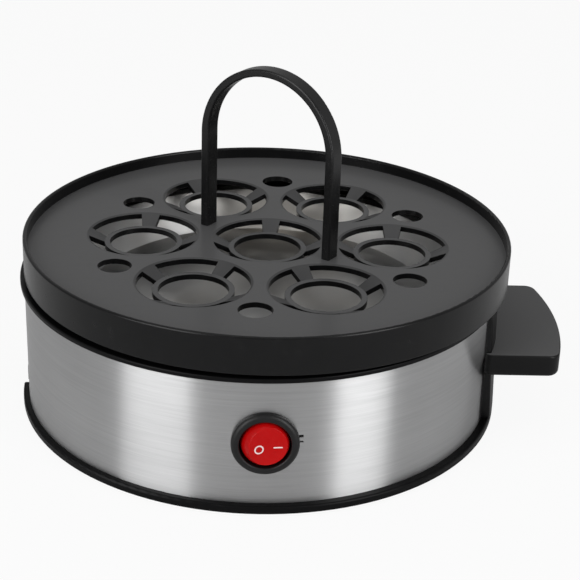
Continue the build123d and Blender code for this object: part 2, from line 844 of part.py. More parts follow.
def lead(*points):
    """Insulated wire along straight runs with rounded bends."""
    path = FilletPolyline(*points, radius=lead_bend)
    start = Plane(origin=path @ 0, z_dir=path % 0)
    return sweep(start * Circle(lead_radius), path)


def lead_live():
    """Live lead from the terminal block to the middle blade of the switch."""
    end = lead_start("switch_middle")
    before = lead_start("switch_middle", lead_run)
    low = Vector(before.X, before.Y, block_bore_height())
    return lead(block_point(1, -lead_bite), block_point(1, lead_run), low, before, end)


def lead_switched():
    """Lead from the switch to the thermostat."""
    end = lead_start("thermostat_left")
    before = under(end) - Vector(0, lead_run, 0)
    return lead(lead_start("switch_left"), lead_start("switch_left", lead_run), before, under(end), end)


def lead_heater():
    """Lead from the thermostat to the right end of the heating element."""
    start = lead_start("thermostat_right")
    end = lead_start("element_right")
    return lead(start, under(start), under(end), end)


def lead_neutral():
    """Neutral lead from the terminal block up to the thermal fuse."""
    return lead(block_point(-1, -lead_bite), block_point(-1, lead_run / 2), fuse_point(-1, lead_run / 2),
                fuse_point(-1, 0))


def lead_fused():
    """Lead from the thermal fuse round the thermostat to the left end of the heating element."""
    end = lead_start("element_left")
    beyond = fuse_point(1, lead_run / 2)
    beside = Vector(-thermostat_screw_reach - lead_run / 2, 0, lead_level)
    return lead(fuse_point(1, 0), beyond, beyond - Vector(0, 0, lead_run), beside, under(end), end)


def tray_place():
    """Tray axes: the loose tray sits a little to one side of the base's axis and slightly turned."""
    return Pos(tray_shift, 0, 0) * Rot(0, 0, tray_turn)


def seat_places():
    return [Pos(0, 0, 0)] + circle_places(seat_circle, seat_count, 0)


def steam_hole_places():
    return circle_places(steam_hole_circle, seat_count, 180 / seat_count)


def arch_leg_places():
    return circle_places(arch_radius, 2, -180 / seat_count)


def tray_seat_cup():
    """One seat: a sloping ring with slots, so that four spokes carry its inner ring."""
    ring_top_level = tray_floor_top - seat_depth
    cup = turn_about([
        (seat_outer, tray_seat), (seat_outer, tray_floor_top),
        (seat_radius, tray_floor_top), (seat_hole_radius + seat_ring, ring_top_level),
        (seat_hole_radius, ring_top_level), (seat_hole_radius, ring_top_level - tray_floor),
        (seat_hole_radius + seat_ring, ring_top_level - tray_floor), (seat_radius, tray_seat)])
    inner = seat_hole_radius + seat_ring
    outer = seat_radius - seat_slot_margin
    band = Polyline((inner, 0, skirt_low), (outer, 0, skirt_low), (outer, 0, tray_rim_top),
                    (inner, 0, tray_rim_top), close=True)
    slot = revolve(make_face(band), Axis.Z, revolution_arc=seat_slot_angle)
    for step in range(seat_slot_count):
        cup -= Rot(0, 0, (step + 0.5) * 360 / seat_slot_count - seat_slot_angle / 2) * slot
    return cup


def tray():
    """Moulded tray: a floor with seven seats and six steam holes, a rim above it and a skirt below."""
    inside = tray_radius - tray_wall
    body = turn_about([
        (0, tray_seat), (inside, tray_seat), (inside, skirt_low), (tray_radius, skirt_low),
        (tray_radius, tray_rim_top), (inside, tray_rim_top), (inside, tray_floor_top), (0, tray_floor_top)])
    body = fillet(body.edges().group_by(Axis.Z)[-1], tray_edge)
    hole = post(seat_radius, skirt_low, tray_rim_top)
    body -= [place * hole for place in seat_places()]
    cup = tray_seat_cup()
    body += [place * cup for place in seat_places()]
    steam_hole = post(steam_hole_radius, skirt_low, tray_rim_top)
    body -= [place * steam_hole for place in steam_hole_places()]
    screw_hole = post(arch_screw_radius + screw_play, tray_seat, tray_floor_top)
    body -= [place * screw_hole for place in arch_leg_places()]
    return tray_place() * body


def arch_shape(radius, spring):
    """Half disc on two straight sides that stand on the tray's floor."""
    leg_height = spring - tray_floor_top
    legs = Pos(0, tray_floor_top + leg_height / 2) * Rectangle(2 * radius, leg_height)
    return legs + Pos(0, spring) * Circle(radius)


def arch_handle():
    """Arched strap that stands on the tray between the seats, thinner at the crown than in the legs."""
    strap = arch_shape(arch_radius + arch_leg_thickness / 2, arch_spring)
    inner_spring = arch_spring + arch_leg_thickness - arch_crown_thickness
    strap -= arch_shape(arch_radius - arch_leg_thickness / 2, inner_spring)
    arch = Rot(90, 0, 0) * extrude(strap, arch_width / 2, both=True)
    long_edges = arch.edges().filter_by(lambda edge: abs(edge.center().Y) > arch_width / 2 - arch_edge)
    arch = fillet(long_edges.filter_by(lambda edge: edge.center().Z > tray_floor_top + arch_edge), arch_edge)
    arch = Rot(0, 0, -180 / seat_count) * arch
    pilot = post(arch_screw_radius + pilot_play, tray_floor_top, tray_seat + arch_screw_length + pilot_play)
    for place in arch_leg_places():
        arch -= place * pilot
    return tray_place() * arch


def arch_screws():
    """Two screws from under the tray into the arch's legs."""
    part = screw(arch_screw_radius, arch_screw_length, arch_head_radius, arch_head_height)
    return group(tray_place() * place * Pos(0, 0, tray_seat) * part for place in arch_leg_places())


pieces = {
    "base_cover": base_cover,
    "foot_ring": foot_ring,
    "base_screws": base_screws,
    "steel_band": steel_band,
    "top_collar": top_collar,
    "heater_pan": heater_pan,
    "pan_seal": pan_seal,
    "heat_spreader": heat_spreader,
    "heating_element": heating_element,
    "element_blades": element_blades,
    "thermostat": thermostat,
    "thermostat_blades": thermostat_blades,
    "plate_screws": plate_screws,
    "thermal_fuse": thermal_fuse,
    "fuse_clip": fuse_clip,
    "switch_housing": switch_housing,
    "switch_rocker": rocker,
    "switch_plunger": switch_plunger,
    "switch_spring": switch_spring,
    "contact_arm": contact_arm,
    "switch_blades": switch_blades,
    "switch_lamp": switch_lamp,
    "side_handle": side_handle,
    "handle_screws": handle_screws,
    "cord_inlet": cord_inlet,
    "cord_clamp": cord_clamp,
    "terminal_block": terminal_block,
    "cover_screws": cover_screws,
    "blade_sleeves": blade_sleeves,
    "lead_live": lead_live,
    "lead_switched": lead_switched,
    "lead_heater": lead_heater,
    "lead_neutral": lead_neutral,
    "lead_fused": lead_fused,
    "tray": tray,
    "arch_handle": arch_handle,
    "arch_screws": arch_screws,
}

os.makedirs("parts", exist_ok=True)
for name, make in pieces.items():
    export_step(make(), f"parts/{name}.step")
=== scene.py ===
import math
import bmesh
import bpy
from mathutils import Matrix, Vector


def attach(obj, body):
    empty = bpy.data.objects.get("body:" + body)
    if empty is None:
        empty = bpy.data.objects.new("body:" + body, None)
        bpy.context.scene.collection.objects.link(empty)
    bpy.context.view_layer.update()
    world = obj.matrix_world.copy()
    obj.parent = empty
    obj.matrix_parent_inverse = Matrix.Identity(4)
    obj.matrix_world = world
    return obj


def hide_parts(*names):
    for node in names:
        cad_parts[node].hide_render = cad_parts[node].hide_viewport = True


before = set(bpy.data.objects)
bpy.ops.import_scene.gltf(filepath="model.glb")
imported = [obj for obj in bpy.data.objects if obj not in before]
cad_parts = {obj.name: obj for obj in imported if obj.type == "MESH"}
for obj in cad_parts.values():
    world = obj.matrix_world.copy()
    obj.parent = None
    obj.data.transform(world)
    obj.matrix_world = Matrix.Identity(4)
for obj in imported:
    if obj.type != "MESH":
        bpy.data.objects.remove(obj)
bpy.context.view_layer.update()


# Base cover: the dished bottom of the cooker, whose outer ring shows as a black line under the steel.
# It is moulded in black plastic with a fine spark-eroded texture and is rubbed paler along its edges.
class Signal:
    """One output of a finish's nodes, which can be used in sums."""

    def __init__(self, finish, socket):
        self.finish = finish
        self.socket = socket

    def work(self, operation, first, second):
        return self.finish.node("ShaderNodeMath", {"operation": operation}, {0: first, 1: second})

    def __add__(self, other):
        return self.work("ADD", self, other)

    def __radd__(self, other):
        return self.work("ADD", other, self)

    def __sub__(self, other):
        return self.work("SUBTRACT", self, other)

    def __rsub__(self, other):
        return self.work("SUBTRACT", other, self)

    def __mul__(self, other):
        return self.work("MULTIPLY", self, other)

    def __rmul__(self, other):
        return self.work("MULTIPLY", other, self)


class Finish:
    """The look of one surface: a node material with its fixed values set on the shader."""

    def __init__(self, name, fixed):
        self.material = bpy.data.materials.new(name)
        self.material.use_nodes = True
        self.tree = self.material.node_tree
        self.shader = self.tree.nodes["Principled BSDF"]
        self.feed(self.shader, fixed)

    def feed(self, made, sockets):
        """Link signals to a node's sockets, or set plain values on them."""
        for key, value in sockets.items():
            if isinstance(value, Signal):
                self.tree.links.new(value.socket, made.inputs[key])
            else:
                made.inputs[key].default_value = value

    def node(self, kind, settings, sockets, output=0):
        """New node with its settings and sockets, as the signal of one of its outputs."""
        made = self.tree.nodes.new(kind)
        for key, value in settings.items():
            setattr(made, key, value)
        self.feed(made, sockets)
        return Signal(self, made.outputs[output])

    def cloud(self, cells, stretch=(1, 1, 1), detail=3.0):
        """Random pattern with so many cells to the metre, fixed to the piece."""
        place = self.node("ShaderNodeTexCoord", {}, {}, "Object")
        place = self.node("ShaderNodeMapping", {}, {"Vector": place, "Scale": stretch})
        return self.node("ShaderNodeTexNoise", {}, {"Vector": place, "Scale": cells, "Detail": detail})

    def between(self, value, low, high):
        """0 below the low value, 1 above the high one."""
        return self.node("ShaderNodeMapRange", {}, {"Value": value, "From Min": low, "From Max": high})

    def shade(self, first, second, share):
        """Colour that goes from the first to the second with the share; the first may be a shade itself."""
        share_in, first_in, second_in, colour_out = 0, 6, 7, 2
        start = first if isinstance(first, Signal) else (*first, 1)
        sockets = {share_in: share, first_in: start, second_in: (*second, 1)}
        return self.node("ShaderNodeMix", {"data_type": "RGBA"}, sockets, colour_out)

    def soft_normal(self, radius):
        """Surface direction with the sharp edges rounded."""
        return self.node("ShaderNodeBevel", {"samples": 6}, {"Radius": radius})

    def rubbed(self, radius):
        """1 along the outer edges, falling to 0 on the flats."""
        flat = self.node("ShaderNodeNewGeometry", {}, {}, "Normal")
        sockets = {0: self.soft_normal(radius), 1: flat}
        facing = self.node("ShaderNodeVectorMath", {"operation": "DOT_PRODUCT"}, sockets, "Value")
        return self.between(1 - facing, low=0.01, high=0.2)

    def relief(self, height, depth, radius):
        """Fine relief of so many metres, over edges rounded by the radius."""
        sockets = {"Height": height, "Distance": depth, "Normal": self.soft_normal(radius)}
        self.feed(self.shader, {"Normal": self.node("ShaderNodeBump", {}, sockets)})


def dress(finish, *names):
    """Give CAD nodes a finish."""
    for name in names:
        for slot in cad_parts[name].material_slots:
            slot.material = finish.material


cover_dark, cover_pale = (0.0016, 0.0016, 0.0018), (0.036, 0.036, 0.038)
satin_black = Finish("satin_black", {"Specular IOR Level": 0.1})
pores = satin_black.cloud(cells=2600, detail=2.0)
haze = satin_black.cloud(cells=45)
rub = satin_black.rubbed(radius=0.0005)
satin_black.feed(satin_black.shader, {
    "Base Color": satin_black.shade(cover_dark, cover_pale, 0.04 * haze + 0.1 * rub),
    "Roughness": 0.24 + 0.12 * pores + 0.1 * haze,
})
satin_black.relief(pores, depth=0.000012, radius=0.0003)
dress(satin_black, "base_cover")


# Foot ring: a flat rubber ring pressed into a groove under the cover, so that the cooker does not slide.
# It is cut from dull black sheet rubber, with a fine speckle and dust in its pores.
rubber_black, rubber_dusty = (0.016, 0.016, 0.016), (0.075, 0.072, 0.068)
foot_rubber = Finish("foot_rubber", {"Specular IOR Level": 0.25})
speckle = foot_rubber.cloud(cells=1800, detail=5.0)
dust = foot_rubber.between(foot_rubber.cloud(cells=260), low=0.52, high=0.75)
foot_rubber.feed(foot_rubber.shader, {
    "Base Color": foot_rubber.shade(rubber_black, rubber_dusty, 0.3 * speckle + 0.4 * dust),
    "Roughness": 0.7 + 0.25 * speckle,
})
foot_rubber.relief(speckle, depth=0.00004, radius=0.0003)
dress(foot_rubber, "foot_ring")


# Base screws: four self-tapping screws from below, which pull the cover and the collar together.
# They are cold-headed steel with a cross recess, a rolled thread and bright zinc plating.
def lathe(profile, sides):
    """Closed body of revolution about Z through (radius, height) points from axis to axis."""
    body = bmesh.new()
    rows = []
    angles = [2 * math.pi * step / sides for step in range(sides)]
    for radius, height in profile:
        if radius == 0:
            rows.append([body.verts.new((0, 0, height))] * sides)
        else:
            ring = [(radius * math.cos(angle), radius * math.sin(angle), height) for angle in angles]
            rows.append([body.verts.new(point) for point in ring])
    for low, high in zip(rows, rows[1:]):
        for step in range(sides):
            ahead = (step + 1) % sides
            corners = dict.fromkeys((low[step], low[ahead], high[ahead], high[step]))
            body.faces.new(list(corners))
    bmesh.ops.recalc_face_normals(body, faces=body.faces[:])
    return body


def mesh_piece(name, body, finish):
    """Turn a mesh under construction into a smooth-shaded object with its finish."""
    sharp_angle = math.radians(35)
    mesh = bpy.data.meshes.new(name)
    for face in body.faces:
        face.smooth = True
    body.to_mesh(mesh)
    body.free()
    mesh.set_sharp_from_angle(angle=sharp_angle)
    mesh.materials.append(finish.material)
    piece = bpy.data.objects.new(name, mesh)
    bpy.context.scene.collection.objects.link(piece)
    return piece


def cross_screw(shank, length, head, height, pitch):
    """Mesh of one pan-head screw that points up, with the underside of its head at the origin."""
    sides, edge_steps, edge_angle = 32, 6, 18
    thread_root, flank = shank * 0.78, pitch * 0.4
    recess_length, recess_width, recess_middle = head * 1.15, head * 0.26, -height * 0.95
    round_off = height / 2
    profile = [(0, -height)]
    for step in range(edge_steps):
        turn = math.radians(edge_angle * step)
        reach = head - round_off + round_off * math.sin(turn)
        profile.append((reach, -round_off - round_off * math.cos(turn)))
    profile += [(head, 0), (shank, 0)]
    for turn in range(int((length - 2 * pitch) / pitch)):
        crest = pitch * (turn + 1)
        profile += [(thread_root, crest - flank), (shank, crest), (thread_root, crest + flank)]
    profile.append((0, length))
    blank = mesh_piece("blank", lathe(profile, sides), zinc)
    cutter_body = bmesh.new()
    for turn in (0, math.pi / 2):
        arm = bmesh.ops.create_cube(cutter_body, size=1)["verts"]
        bmesh.ops.scale(cutter_body, vec=(recess_length, recess_width, height), verts=arm)
        bmesh.ops.translate(cutter_body, vec=(0, 0, recess_middle), verts=arm)
        bmesh.ops.rotate(cutter_body, matrix=Matrix.Rotation(turn, 3, "Z"), verts=arm)
    cutter = mesh_piece("cutter", cutter_body, zinc)
    recess = blank.modifiers.new("recess", "BOOLEAN")
    recess.operation = "DIFFERENCE"
    recess.object = cutter
    recess.use_self = True
    bpy.context.view_layer.update()
    mesh = bpy.data.meshes.new_from_object(blank.evaluated_get(bpy.context.evaluated_depsgraph_get()))
    for spare in (blank, cutter):
        bpy.data.objects.remove(spare)
    return mesh


def fit_screws(node, body, places, mesh):
    """Put one screw at each place, as one piece that stands for the node."""
    joined = bmesh.new()
    for place in places:
        copy = mesh.copy()
        copy.transform(place)
        joined.from_mesh(copy)
    piece = mesh_piece(node + "_cross_head", joined, zinc)
    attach(piece, body)
    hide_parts(node)


def round_axis(radius, angle, height):
    """Place at a radius and an angle in degrees about the cooker's axis."""
    return Matrix.Rotation(math.radians(angle), 4, "Z") @ Matrix.Translation((radius, 0, height))


zinc_bright, zinc_stained = (0.62, 0.63, 0.65), (0.4, 0.38, 0.33)
zinc = Finish("bright_zinc", {"Specular IOR Level": 0.5})
spangle = zinc.cloud(cells=900, detail=6.0)
stain = zinc.between(zinc.cloud(cells=320), low=0.5, high=0.8)
zinc.feed(zinc.shader, {
    "Base Color": zinc.shade(zinc_bright, zinc_stained, 0.35 * spangle + 0.5 * stain),
    "Roughness": 0.22 + 0.2 * spangle + 0.2 * stain,
    "Metallic": 1 - 0.15 * stain,
})
zinc.relief(spangle, depth=0.000008, radius=0.0001)
base_screw = cross_screw(shank=0.00145, length=0.014, head=0.003, height=0.0012, pitch=0.0011)
base_places = [round_axis(radius=0.0812, angle=45 + 90 * k, height=0.0018) for k in range(4)]
fit_screws("base_screws", "base", base_places, base_screw)


# Steel band: a strip of stainless sheet rolled into a ring, held in grooves of the cover and the collar.
# It is brushed round its length, so light spreads up and down it, and it carries faint hand marks.
steel_dark, steel_light = (0.36, 0.363, 0.368), (0.64, 0.64, 0.642)
band_steel = Finish("band_steel", {"Anisotropic": 1.0, "Anisotropic Rotation": 0.25, "Metallic": 1.0})
hair = band_steel.cloud(cells=60, stretch=(1, 1, 90), detail=5.0)
streak = band_steel.cloud(cells=14, stretch=(1, 1, 60), detail=4.0)
smudge = band_steel.between(band_steel.cloud(cells=16), low=0.45, high=0.75)
brush = 0.6 * hair + 0.4 * streak
band_steel.feed(band_steel.shader, {
    "Base Color": band_steel.shade(steel_dark, steel_light, brush - 0.06 * smudge),
    "Roughness": 0.26 + 0.12 * hair + 0.05 * smudge,
})
band_steel.relief(hair, depth=0.00001, radius=0.0001)
dress(band_steel, "steel_band")


# Top collar: the plastic plate that caps the band, carries the pan and holds the tray on its upstand.
# It comes from the same black plastic and tool finish as the cover.
dress(satin_black, "top_collar")


# Water pan and its seal: the pan is pressed from thin stainless sheet and hangs by its rim on a silicone
# ring. Boiled water has left pale scale on its floor and a faint straw tint over the heater.
pan_plain, pan_straw, pan_scale = (0.6, 0.6, 0.596), (0.54, 0.49, 0.41), (0.7, 0.68, 0.64)
pan_steel = Finish("pan_steel", {"Anisotropic": 0.3})
draw_lines = pan_steel.cloud(cells=300, stretch=(1, 1, 6), detail=3.0)
scale = pan_steel.between(pan_steel.cloud(cells=55, detail=6.0), low=0.5, high=0.72)
tint = pan_steel.between(pan_steel.cloud(cells=18), low=0.4, high=0.7)
sheet = pan_steel.shade(pan_plain, pan_straw, 0.5 * tint)
pan_steel.feed(pan_steel.shader, {
    "Base Color": pan_steel.shade(sheet, pan_scale, 0.3 * scale),
    "Roughness": 0.36 + 0.1 * draw_lines + 0.16 * scale,
    "Metallic": 1 - 0.25 * scale,
})
pan_steel.relief(draw_lines + scale, depth=0.000003, radius=0.0003)
dress(pan_steel, "heater_pan")

seal_fresh, seal_aged = (0.72, 0.71, 0.67), (0.6, 0.57, 0.5)
seal_silicone = Finish("seal_silicone", {
    "Specular IOR Level": 0.35, "Subsurface Weight": 0.15, "Subsurface Scale": 0.001,
})
bloom = seal_silicone.cloud(cells=400, detail=5.0)
seal_silicone.feed(seal_silicone.shader, {
    "Base Color": seal_silicone.shade(seal_fresh, seal_aged, bloom),
    "Roughness": 0.5 + 0.2 * bloom,
})
seal_silicone.relief(bloom, depth=0.00002, radius=0.0002)
dress(seal_silicone, "pan_seal")


# Heat spreader and heating element: a cast aluminium disc brazed under the pan, with a sheathed tube bent
# into an open ring and half sunk in it. The tube's ends carry welded push-on blades of tinned brass.
cast_dull, cast_bright = (0.5, 0.5, 0.515), (0.7, 0.7, 0.715)
cast_aluminium = Finish("cast_aluminium", {"Metallic": 1.0})
casting = cast_aluminium.cloud(cells=700, detail=6.0)
flow = cast_aluminium.cloud(cells=60)
cast_aluminium.feed(cast_aluminium.shader, {
    "Base Color": cast_aluminium.shade(cast_dull, cast_bright, 0.5 * casting + 0.5 * flow),
    "Roughness": 0.38 + 0.2 * casting,
})
cast_aluminium.relief(casting, depth=0.00006, radius=0.0003)
dress(cast_aluminium, "heat_spreader")

sheath_grey, sheath_straw = (0.17, 0.165, 0.175), (0.42, 0.36, 0.27)
element_sheath = Finish("element_sheath", {"Metallic": 1.0})
oxide = element_sheath.cloud(cells=140, detail=5.0)
straw = element_sheath.between(element_sheath.cloud(cells=40), low=0.42, high=0.62)
element_sheath.feed(element_sheath.shader, {
    "Base Color": element_sheath.shade(sheath_grey, sheath_straw, 0.5 * straw + 0.4 * oxide),
    "Roughness": 0.4 + 0.25 * oxide,
})
element_sheath.relief(oxide, depth=0.00002, radius=0.0002)
dress(element_sheath, "heating_element")

brass_bright, brass_tarnished = (0.72, 0.6, 0.33), (0.42, 0.3, 0.15)
blade_brass = Finish("blade_brass", {"Metallic": 1.0})
rolled = blade_brass.cloud(cells=300, stretch=(1, 1, 12), detail=4.0)
tarnish = blade_brass.between(blade_brass.cloud(cells=380), low=0.45, high=0.75)
blade_brass.feed(blade_brass.shader, {
    "Base Color": blade_brass.shade(brass_bright, brass_tarnished, 0.25 * rolled + 0.55 * tarnish),
    "Roughness": 0.25 + 0.15 * rolled + 0.2 * tarnish,
})
blade_brass.relief(rolled, depth=0.000008, radius=0.0001)
dress(blade_brass, "element_blades")


# Thermostat and thermal fuse: a snap-disc switch in a brown phenolic case on a flange, and a small metal
# fuse under a bent strap. Four equal screws hold both of them to the spreader.
phenolic_dark, phenolic_light = (0.05, 0.028, 0.018), (0.15, 0.085, 0.05)
phenolic = Finish("phenolic", {"Specular IOR Level": 0.4})
filler = phenolic.cloud(cells=1500, detail=6.0)
filler_spots = phenolic.between(filler, low=0.35, high=0.7)
phenolic.feed(phenolic.shader, {
    "Base Color": phenolic.shade(phenolic_dark, phenolic_light, filler_spots),
    "Roughness": 0.35 + 0.2 * filler,
})
phenolic.relief(filler, depth=0.00001, radius=0.0002)
dress(phenolic, "thermostat")
dress(blade_brass, "thermostat_blades")

tin_dull, tin_bright = (0.56, 0.54, 0.5), (0.74, 0.72, 0.68)
fuse_metal = Finish("fuse_metal", {"Metallic": 1.0})
tin = fuse_metal.cloud(cells=600, stretch=(1, 1, 4), detail=4.0)
fuse_metal.feed(fuse_metal.shader, {
    "Base Color": fuse_metal.shade(tin_dull, tin_bright, tin),
    "Roughness": 0.28 + 0.18 * tin,
})
fuse_metal.relief(tin, depth=0.00001, radius=0.0001)
dress(fuse_metal, "thermal_fuse")

strap_grey, strap_rusty = (0.52, 0.52, 0.53), (0.3, 0.22, 0.16)
strap_steel = Finish("strap_steel", {"Metallic": 1.0})
scratch = strap_steel.cloud(cells=220, stretch=(1, 14, 1), detail=5.0)
rust = strap_steel.between(strap_steel.cloud(cells=420), low=0.62, high=0.8)
strap_steel.feed(strap_steel.shader, {
    "Base Color": strap_steel.shade(strap_grey, strap_rusty, 0.3 * scratch + 0.4 * rust),
    "Roughness": 0.28 + 0.2 * scratch + 0.2 * rust,
})
strap_steel.relief(scratch, depth=0.000008, radius=0.0001)
dress(strap_steel, "fuse_clip")

flange_height, flange_reach = 0.0330, 0.0125
strap_angle, strap_reaches = 215, (0.0206, 0.0334)
plate_screw = cross_screw(shank=0.00145, length=0.0044, head=0.0027, height=0.0017, pitch=0.0008)
plate_places = [round_axis(flange_reach, 180 * k, flange_height) for k in range(2)]
plate_places += [round_axis(reach, strap_angle, flange_height) for reach in strap_reaches]
fit_screws("plate_screws", "base", plate_places, plate_screw)


# Rocker switch: a round snap-in housing whose domed bezel shows on the band, and a red see-through rocker.
# The housing is glossier than the cover; O and a bar are printed on the rocker's dished face.
switch_dark, switch_pale = (0.003, 0.003, 0.0032), (0.05, 0.05, 0.052)
switch_black = Finish("switch_black", {"Specular IOR Level": 0.3})
mould = switch_black.cloud(cells=2000, detail=2.0)
fingering = switch_black.cloud(cells=120)
worn = switch_black.rubbed(radius=0.0003)
switch_black.feed(switch_black.shader, {
    "Base Color": switch_black.shade(switch_dark, switch_pale, 0.07 * fingering + 0.2 * worn),
    "Roughness": 0.32 + 0.1 * mould + 0.1 * fingering,
})
switch_black.relief(mould, depth=0.000008, radius=0.0002)
dress(switch_black, "switch_housing")

red_deep, red_light = (0.36, 0.0006, 0.001), (0.56, 0.012, 0.012)
rocker_red = Finish("rocker_red", {"Specular IOR Level": 0.13})
thickness = rocker_red.cloud(cells=260)
ripple = rocker_red.cloud(cells=900, detail=4.0)
crest = rocker_red.rubbed(radius=0.0004)
rocker_red.feed(rocker_red.shader, {
    "Base Color": rocker_red.shade(red_deep, red_light, 0.35 * thickness + 0.4 * crest),
    "Roughness": 0.16 + 0.1 * ripple,
})
rocker_red.relief(ripple, depth=0.000004, radius=0.0002)
dress(rocker_red, "switch_rocker")

switch_turn, rocker_tilt = math.radians(-87.6), math.radians(10.0)
switch_height, band_face, pin_depth = 0.0273, 0.0877, 0.0020
straight_out = Vector((math.cos(switch_turn), math.sin(switch_turn), 0))
to_right = Vector((-math.sin(switch_turn), math.cos(switch_turn), 0))
rocker_x = math.cos(rocker_tilt) * to_right - math.sin(rocker_tilt) * straight_out
rocker_z = math.sin(rocker_tilt) * to_right + math.cos(rocker_tilt) * straight_out
rocker_axis = straight_out * (band_face - pin_depth) + Vector((0, 0, switch_height))


def on_rocker(x, y, z):
    """Point in the rocker's own axes: X right, Y up, Z out of its face."""
    return rocker_axis + rocker_x * x + Vector((0, 0, y)) + rocker_z * z


def rocker_face(x, y, proud):
    """Point over the rocker's dished face, so far proud of it."""
    crown, dish = 0.0048, 0.032
    return on_rocker(x, y, crown + dish - math.sqrt(dish ** 2 - x ** 2) + proud)


def printed_stroke(name, path, closed, width):
    """Raised ink stroke along a path on the rocker's face, round at its free ends."""
    ink, shoulder, root, flat, least_square = 0.00004, 0.00002, -0.00004, 0.6, 1e-10
    section = ((-1, root), (-1, shoulder), (-flat, ink), (flat, ink), (1, shoulder), (1, root))
    body = bmesh.new()
    rows = []
    last = len(path) - 1
    for step, (x, y) in enumerate(path):
        ahead = path[(step + 1) % len(path)] if closed else path[min(step + 1, last)]
        behind = path[step - 1] if closed else path[max(step - 1, 0)]
        along = Vector((ahead[0] - behind[0], ahead[1] - behind[1])).normalized()
        half = width / 2
        if not closed:
            end = min(math.dist(path[0], path[step]), math.dist(path[last], path[step]))
            half = math.sqrt(max(half ** 2 - max(half - end, 0) ** 2, least_square))
        points = [(x - along.y * half * side, y + along.x * half * side, proud) for side, proud in section]
        rows.append([body.verts.new(rocker_face(*point)) for point in points])
    pairs = list(zip(rows, rows[1:]))
    if closed:
        pairs.append((rows[last], rows[0]))
    else:
        body.faces.new(rows[0])
        body.faces.new(rows[last])
    for one, other in pairs:
        for step in range(len(one)):
            ahead = (step + 1) % len(one)
            body.faces.new((one[step], one[ahead], other[ahead], other[step]))
    bmesh.ops.recalc_face_normals(body, faces=body.faces[:])
    piece = mesh_piece(name, body, mark_ink)
    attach(piece, "rocker")


ink_thin, ink_full = (0.62, 0.45, 0.45), (0.82, 0.72, 0.72)
mark_ink = Finish("mark_ink", {"Specular IOR Level": 0.35})
print_grain = mark_ink.cloud(cells=5000, detail=3.0)
mark_ink.feed(mark_ink.shader, {
    "Base Color": mark_ink.shade(ink_thin, ink_full, print_grain),
    "Roughness": 0.35 + 0.2 * print_grain,
})
mark_ink.relief(print_grain, depth=0.000004, radius=0.00005)
off_x, off_y, off_radius, off_steps = -0.0030, -0.0008, 0.00138, 64
off_angles = [2 * math.pi * step / off_steps for step in range(off_steps)]
circle = [(off_x + off_radius * math.cos(a), off_y + off_radius * math.sin(a)) for a in off_angles]
printed_stroke("rocker_mark_off", circle, closed=True, width=0.0005)
on_x, on_y, on_length, on_steps = 0.0034, -0.0005, 0.00315, 40
bar = [(on_x + on_length * (step / on_steps - 0.5), on_y) for step in range(on_steps + 1)]
printed_stroke("rocker_mark_on", bar, closed=False, width=0.00048)

dress(phenolic, "switch_plunger")
dress(blade_brass, "contact_arm", "switch_blades")

spring_low, spring_high, spring_radius, spring_wire = -0.0058, -0.0032, 0.00102, 0.00016
spring_turns, steps_per_turn = 6, 14
coil_steps = steps_per_turn * spring_turns
coil_rise = spring_high - spring_low - 2 * spring_wire
spring_line = bpy.data.curves.new("switch_spring_coil", "CURVE")
spring_line.dimensions = "3D"
spring_line.bevel_depth = spring_wire
spring_line.bevel_resolution = 3
spring_line.use_fill_caps = True
coil = spring_line.splines.new("NURBS")
coil.points.add(coil_steps)
for step in range(coil_steps + 1):
    turn = 2 * math.pi * spring_turns * step / coil_steps
    rise = spring_low + spring_wire + coil_rise * step / coil_steps
    point = on_rocker(spring_radius * math.cos(turn), spring_radius * math.sin(turn), rise)
    coil.points[step].co = (*point, 1)
coil.order_u = 3
coil.use_endpoint_u = True
spring = bpy.data.objects.new("switch_spring_coil", spring_line)
bpy.context.scene.collection.objects.link(spring)
spring_line.materials.append(strap_steel.material)
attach(spring, "rocker")
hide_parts("switch_spring")

glass_clear, glass_smoky = (0.95, 0.9, 0.84), (0.85, 0.7, 0.55)
lamp_glass = Finish("lamp_glass", {"Transmission Weight": 0.9, "IOR": 1.47})
seed = lamp_glass.cloud(cells=900, detail=4.0)
seed_spots = lamp_glass.between(seed, low=0.5, high=0.8)
lamp_glass.feed(lamp_glass.shader, {
    "Base Color": lamp_glass.shade(glass_clear, glass_smoky, seed_spots),
    "Roughness": 0.03 + 0.08 * seed,
})
lamp_glass.relief(seed, depth=0.000004, radius=0.0002)
dress(lamp_glass, "switch_lamp")


# Side handle: one moulding of black plastic, a curved plate against the band and a flat lug, held by two
# screws from inside the band. Its sides are satin; the lug's flat top has an eroded texture and is painted
# paler, as if lit from above.
def facing_up(finish):
    """1 where the surface lies flat and looks up, 0 on slopes and walls."""
    straight = finish.node("ShaderNodeNewGeometry", {}, {}, "Normal")
    upward = finish.node("ShaderNodeSeparateXYZ", {}, {"Vector": straight}, "Z")
    return finish.between(upward, low=0.8, high=0.99)


handle_dark, handle_pale = (0.0022, 0.0022, 0.0024), (0.1, 0.1, 0.101)
handle_black = Finish("handle_black", {"Specular IOR Level": 0.18})
sparks = handle_black.cloud(cells=2600, detail=2.0)
palm = handle_black.cloud(cells=60)
chafed = handle_black.rubbed(radius=0.0005)
# Painted light: the lug's flat top, which faces up, gets a much paler base colour, as if lit from above; it
# is also rougher.
lug_top_painted_lit = facing_up(handle_black)
handle_shares = 0.025 * palm + 0.12 * chafed + 0.85 * lug_top_painted_lit
handle_black.feed(handle_black.shader, {
    "Base Color": handle_black.shade(handle_dark, handle_pale, handle_shares),
    "Roughness": 0.26 + 0.1 * sparks + 0.08 * palm + 0.25 * lug_top_painted_lit,
})
handle_black.relief(sparks, depth=0.000012, radius=0.0003)
dress(handle_black, "side_handle")

